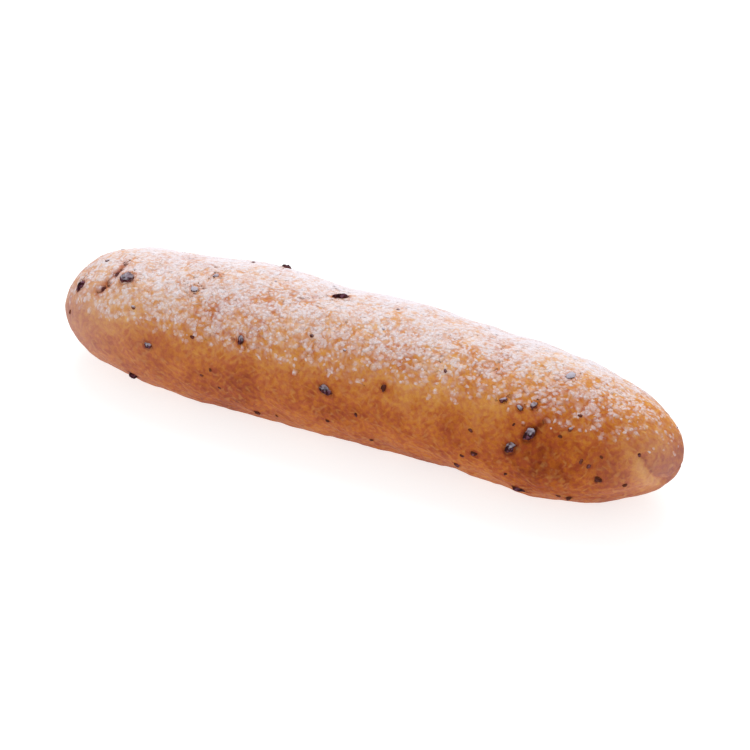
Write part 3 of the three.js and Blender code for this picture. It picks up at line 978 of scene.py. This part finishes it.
def dried_currant():
    """Dried currant skin: near black with a violet cast, painted highlights of pale violet grey on
    its folds, and flour caked in patches on the tops of some, which on the largest currant stands
    for painted glints."""
    material, tree = new_material("dried_currant_skin")
    place = node(tree, "ShaderNodeTexCoord").outputs["Object"]
    floured, skinned = (
        node(tree, "ShaderNodeAttribute", attribute_name=name).outputs["Fac"]
        for name in ("floured", "skinned")
    )
    folds, crumbs = (
        node(
            tree, "ShaderNodeTexNoise", {"Vector": place, "Scale": scale, "Detail": CURRANT_DETAIL}
        ).outputs["Fac"]
        for scale in (FOLDS, CRUMBLY)
    )
    # Darker in the valleys and pale violet grey on the highest folds: painted highlight.
    skin = node(tree, "ShaderNodeValToRGB", {0: folds})
    set_ramp(skin, CURRANT_SKIN_AND_HIGHLIGHTS)
    crusted = node(
        tree, "ShaderNodeMath", {0: skinned, 1: SKINNED}, operation="MULTIPLY"
    ).outputs[0]
    colour = node(
        tree,
        "ShaderNodeMix",
        {"Factor": crusted, 6: skin.outputs["Color"], 7: linear(CRUST_ON_CURRANT)},
        data_type="RGBA",
    ).outputs[2]
    caked = node(
        tree, "ShaderNodeMath", {0: crumbs, 1: CRUMBLED, 2: floured}, operation="MULTIPLY_ADD"
    ).outputs[0]
    caked = node(
        tree,
        "ShaderNodeMapRange",
        {0: caked, 1: CAKES[0], 2: CAKES[1], 3: 0.0, 4: CAKED},
        interpolation_type="SMOOTHSTEP",
    ).outputs[0]
    colour = node(
        tree,
        "ShaderNodeMix",
        {"Factor": caked, 6: colour, 7: linear(FLOURED_CURRANT)},
        data_type="RGBA",
    ).outputs[2]
    rough = node(
        tree,
        "ShaderNodeMapRange",
        {0: caked, 1: 0.0, 2: CURRANT_FLOURED, 3: CURRANT_ROUGH[0], 4: CURRANT_ROUGH[1]},
    ).outputs[0]
    height = node(
        tree, "ShaderNodeMath", {0: folds, 1: FOLD_BUMP}, operation="MULTIPLY"
    ).outputs[0]
    bump = node(
        tree, "ShaderNodeBump", {"Strength": 1.0, "Distance": 1.0, "Height": height}
    ).outputs["Normal"]
    shader = node(
        tree,
        "ShaderNodeBsdfPrincipled",
        {
            "Base Color": colour,
            "Roughness": rough,
            "Normal": bump,
            "IOR": REFRACTION,
            "Specular IOR Level": CURRANT_SHINE,
        },
    ).outputs[0]
    node(tree, "ShaderNodeOutputMaterial", {"Surface": shader})
    return material


make_flour(*make_crust())
make_fruit()

# ---------------------------------------------------------------- floor, light and camera


FLOOR_HALF = 3  # metres
FLOOR_GREY, FLOOR_GLOW = 0xB4B4B4, 0.72
TENT_LIGHT = 0.75
# The lamp above and behind: its place and side in metres, its watts and its colour.
LAMP_PLACE, LAMP_SIDE, LAMP_WATTS, LAMP_COLOUR = (-0.25, 0.75, 1.0), 1.0, 11, 0xFFFFFF
# The camera: degrees above the horizon and round to the right, how far off in metres, the sensor's
# width and the focal length in millimetres, the loaf's middle, and how far to the right and down
# the camera stands for that to fall where it does in the picture, in metres.
ELEVATION, AZIMUTH, DISTANCE = 36, 25.35, 1.0
SENSOR, FOCAL_LENGTH = 36, 115.8
MIDDLE, TO_THE_RIGHT, DOWN = (0, -0.0037, 0.027), 0.00543, 0.00323


def make_floor():
    """A plain white floor, matte and lit a little from within."""
    material, tree = new_material("lit_opal_acrylic")
    shader = node(
        tree,
        "ShaderNodeBsdfPrincipled",
        {
            "Base Color": linear(FLOOR_GREY),
            "Roughness": 1.0,
            "Specular IOR Level": 0.0,
            "Emission Color": (1.0, 1.0, 1.0, 1.0),
            "Emission Strength": FLOOR_GLOW,
        },
    ).outputs[0]
    node(tree, "ShaderNodeOutputMaterial", {"Surface": shader})
    mesh = bpy.data.meshes.new("floor")
    sides = [(-1, -1), (1, -1), (1, 1), (-1, 1)]
    corners = [(x * FLOOR_HALF, y * FLOOR_HALF, 0) for x, y in sides]
    mesh.from_pydata(corners, [], [(0, 1, 2, 3)])
    mesh.materials.append(material)
    floor = bpy.data.objects.new("floor", mesh)
    bpy.context.scene.collection.objects.link(floor)


def overhead_light():
    """A square area light that faces the loaf."""
    lamp = bpy.data.lights.new("overhead", "AREA")
    lamp.size, lamp.energy = LAMP_SIDE, LAMP_WATTS
    lamp.color = linear(LAMP_COLOUR)[:3]
    holder = bpy.data.objects.new("overhead", lamp)
    bpy.context.scene.collection.objects.link(holder)
    holder.location = LAMP_PLACE
    facing = -Vector(LAMP_PLACE)
    holder.rotation_euler = facing.to_track_quat("-Z", "Y").to_euler()


def white_world():
    """Even white light from all round, as in a photographer's tent."""
    world = bpy.data.worlds.new("studio")
    world.use_nodes = True
    background = world.node_tree.nodes["Background"]
    background.inputs["Color"].default_value = (1, 1, 1, 1)
    background.inputs["Strength"].default_value = TENT_LIGHT
    bpy.context.scene.world = world


def make_camera():
    """The photograph's camera, aimed so that the loaf's middle falls where it does there."""
    elevation, azimuth = np.radians(ELEVATION), np.radians(AZIMUTH)
    level = np.cos(elevation)
    back = Vector((np.sin(azimuth) * level, -np.cos(azimuth) * level, np.sin(elevation)))
    right = Vector((0, 0, 1)).cross(back).normalized()
    up = back.cross(right)
    lens = bpy.data.cameras.new("camera")
    lens.sensor_width, lens.lens = SENSOR, FOCAL_LENGTH
    camera = bpy.data.objects.new("camera", lens)
    bpy.context.scene.collection.objects.link(camera)
    place = Vector(MIDDLE) + back * DISTANCE + right * TO_THE_RIGHT - up * DOWN
    turned = Matrix((right, up, back)).transposed().to_4x4()
    camera.matrix_world = Matrix.Translation(place) @ turned
    bpy.context.scene.camera = camera


make_floor()
white_world()
overhead_light()
make_camera()
bpy.context.scene.view_settings.view_transform = "Standard"
